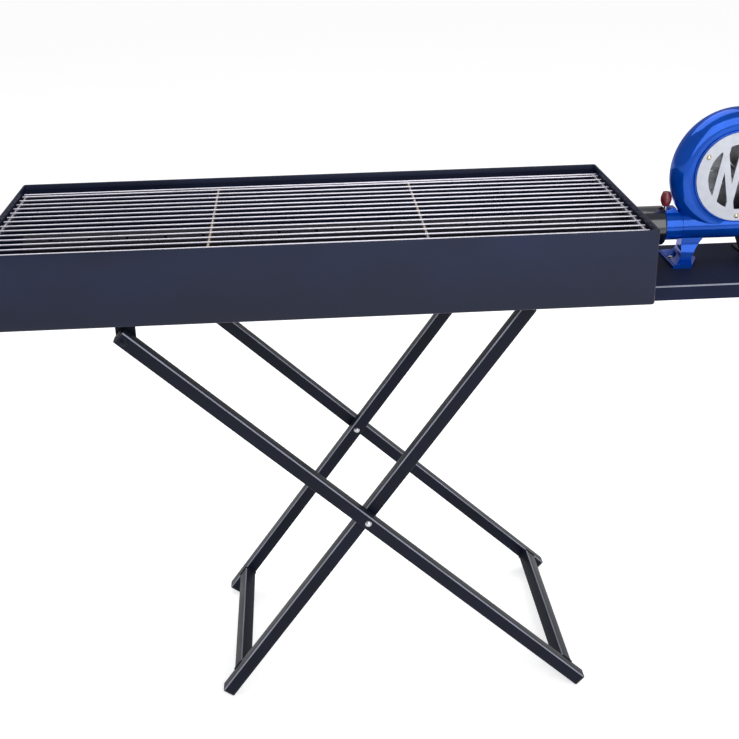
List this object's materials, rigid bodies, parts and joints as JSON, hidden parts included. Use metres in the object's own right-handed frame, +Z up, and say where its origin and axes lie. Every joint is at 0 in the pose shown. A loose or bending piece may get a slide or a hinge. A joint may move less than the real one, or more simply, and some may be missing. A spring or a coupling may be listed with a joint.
{
  "type": "charcoal forge",
  "caption": "Long sheet-metal fire tray with a lift-off wire grate, crossed folding square-tube legs and an electric blower feeding a throttled air pipe.",
  "frame": {"origin": "on the floor, under the middle of the whole object's box", "axes": "+X along the tray towards the blower, +Y towards the motor side, +Z up"},
  "size_m": [1.32, 0.404, 0.957],
  "materials": {
    "tray_paint": "black heat-resistant powder coat, satin",
    "leg_paint": "black powder coat, satin",
    "cap_plastic": "moulded black plastic",
    "bright_wire": "bright plated wire",
    "zinc": "zinc-plated steel",
    "blue_enamel": "glossy blue enamel on a casting",
    "guard_steel": "white-grey pressed steel",
    "guard_screw": "yellow-passivated screw heads",
    "red_knob": "moulded red plastic",
    "black_rubber": "moulded rubber",
    "motor_cast": "grey cast aluminium",
    "motor_plastic": "moulded black plastic",
    "impeller_alloy": "cast aluminium, turned hub",
    "windings": "laminated core and copper windings"
  },
  "bodies": {
    "firebox": {"fire_tray": "tray_paint", "grate_ledges": "tray_paint", "tuyere": "tray_paint", "tuyere_cap": "tray_paint", "tuyere_flange": "tray_paint", "air_pipe": "tray_paint", "pipe_sleeve": "black_rubber", "blower_shelf": "tray_paint", "shelf_bolts": "zinc", "shelf_nuts": "zinc", "hinge_lugs": "leg_paint", "hinge_pins": "leg_paint", "rest_brackets": "leg_paint", "volute_front": "blue_enamel", "volute_rear": "blue_enamel", "blower_foot": "blue_enamel", "foot_bolts": "zinc", "foot_nuts": "zinc", "inlet_guard": "guard_steel", "guard_screws": "guard_screw", "damper_collar": "blue_enamel", "motor_stand": "leg_paint", "motor_front_bell": "motor_cast", "motor_housing": "motor_cast", "motor_rear_bell": "motor_cast", "motor_screws": "zinc", "stator_core": "windings", "shaft_bearings": "zinc", "fan_cover": "motor_plastic", "terminal_box": "motor_plastic", "cable_gland": "motor_plastic"},
    "grate": {"grate_bars": "bright_wire", "grate_cross_rods": "bright_wire"},
    "outer_frame": {"outer_leg_front": "leg_paint", "outer_leg_back": "leg_paint", "outer_foot_bar": "leg_paint", "outer_end_caps": "cap_plastic", "pivot_bolts": "zinc", "pivot_washers": "zinc", "pivot_nuts": "zinc"},
    "inner_frame": {"inner_leg_front": "leg_paint", "inner_leg_back": "leg_paint", "inner_foot_bar": "leg_paint", "inner_end_caps": "cap_plastic"},
    "damper": {"damper_spindle": "zinc", "damper_disc": "zinc", "damper_knob": "red_knob"},
    "rotor": {"rotor_shaft": "zinc", "rotor_core": "zinc", "impeller": "impeller_alloy", "impeller_nut": "zinc", "cooling_fan": "motor_plastic"}
  },
  "joints": [
    {"name": "outer_fold", "type": "hinge", "parent": "firebox", "child": "outer_frame", "pos_m": [-0.45403, 0, 0.678], "axis": [0, -1, 0], "range_deg": [0, 38.72]},
    {"name": "inner_fold", "type": "hinge", "parent": "outer_frame", "child": "inner_frame", "pos_m": [-0.098, 0, 0.346], "axis": [0, 1, 0], "range_deg": [0, 96.8]},
    {"name": "grate_lift", "type": "slide", "parent": "firebox", "child": "grate", "axis": [0, 0, 1], "range_m": [0, 0.15]},
    {"name": "damper_turn", "type": "hinge", "parent": "firebox", "child": "damper", "pos_m": [0.4082, 0, 0.767], "axis": [0, 0, 1], "range_deg": [0, 90]},
    {"name": "rotor_spin", "type": "hinge", "parent": "firebox", "child": "rotor", "pos_m": [0.5185, 0, 0.85], "axis": [0, 1, 0], "continuous": true}
  ],
  "couplings": [
    {"joint": "inner_fold", "follows": "outer_fold", "ratio": 2.5}
  ]
}
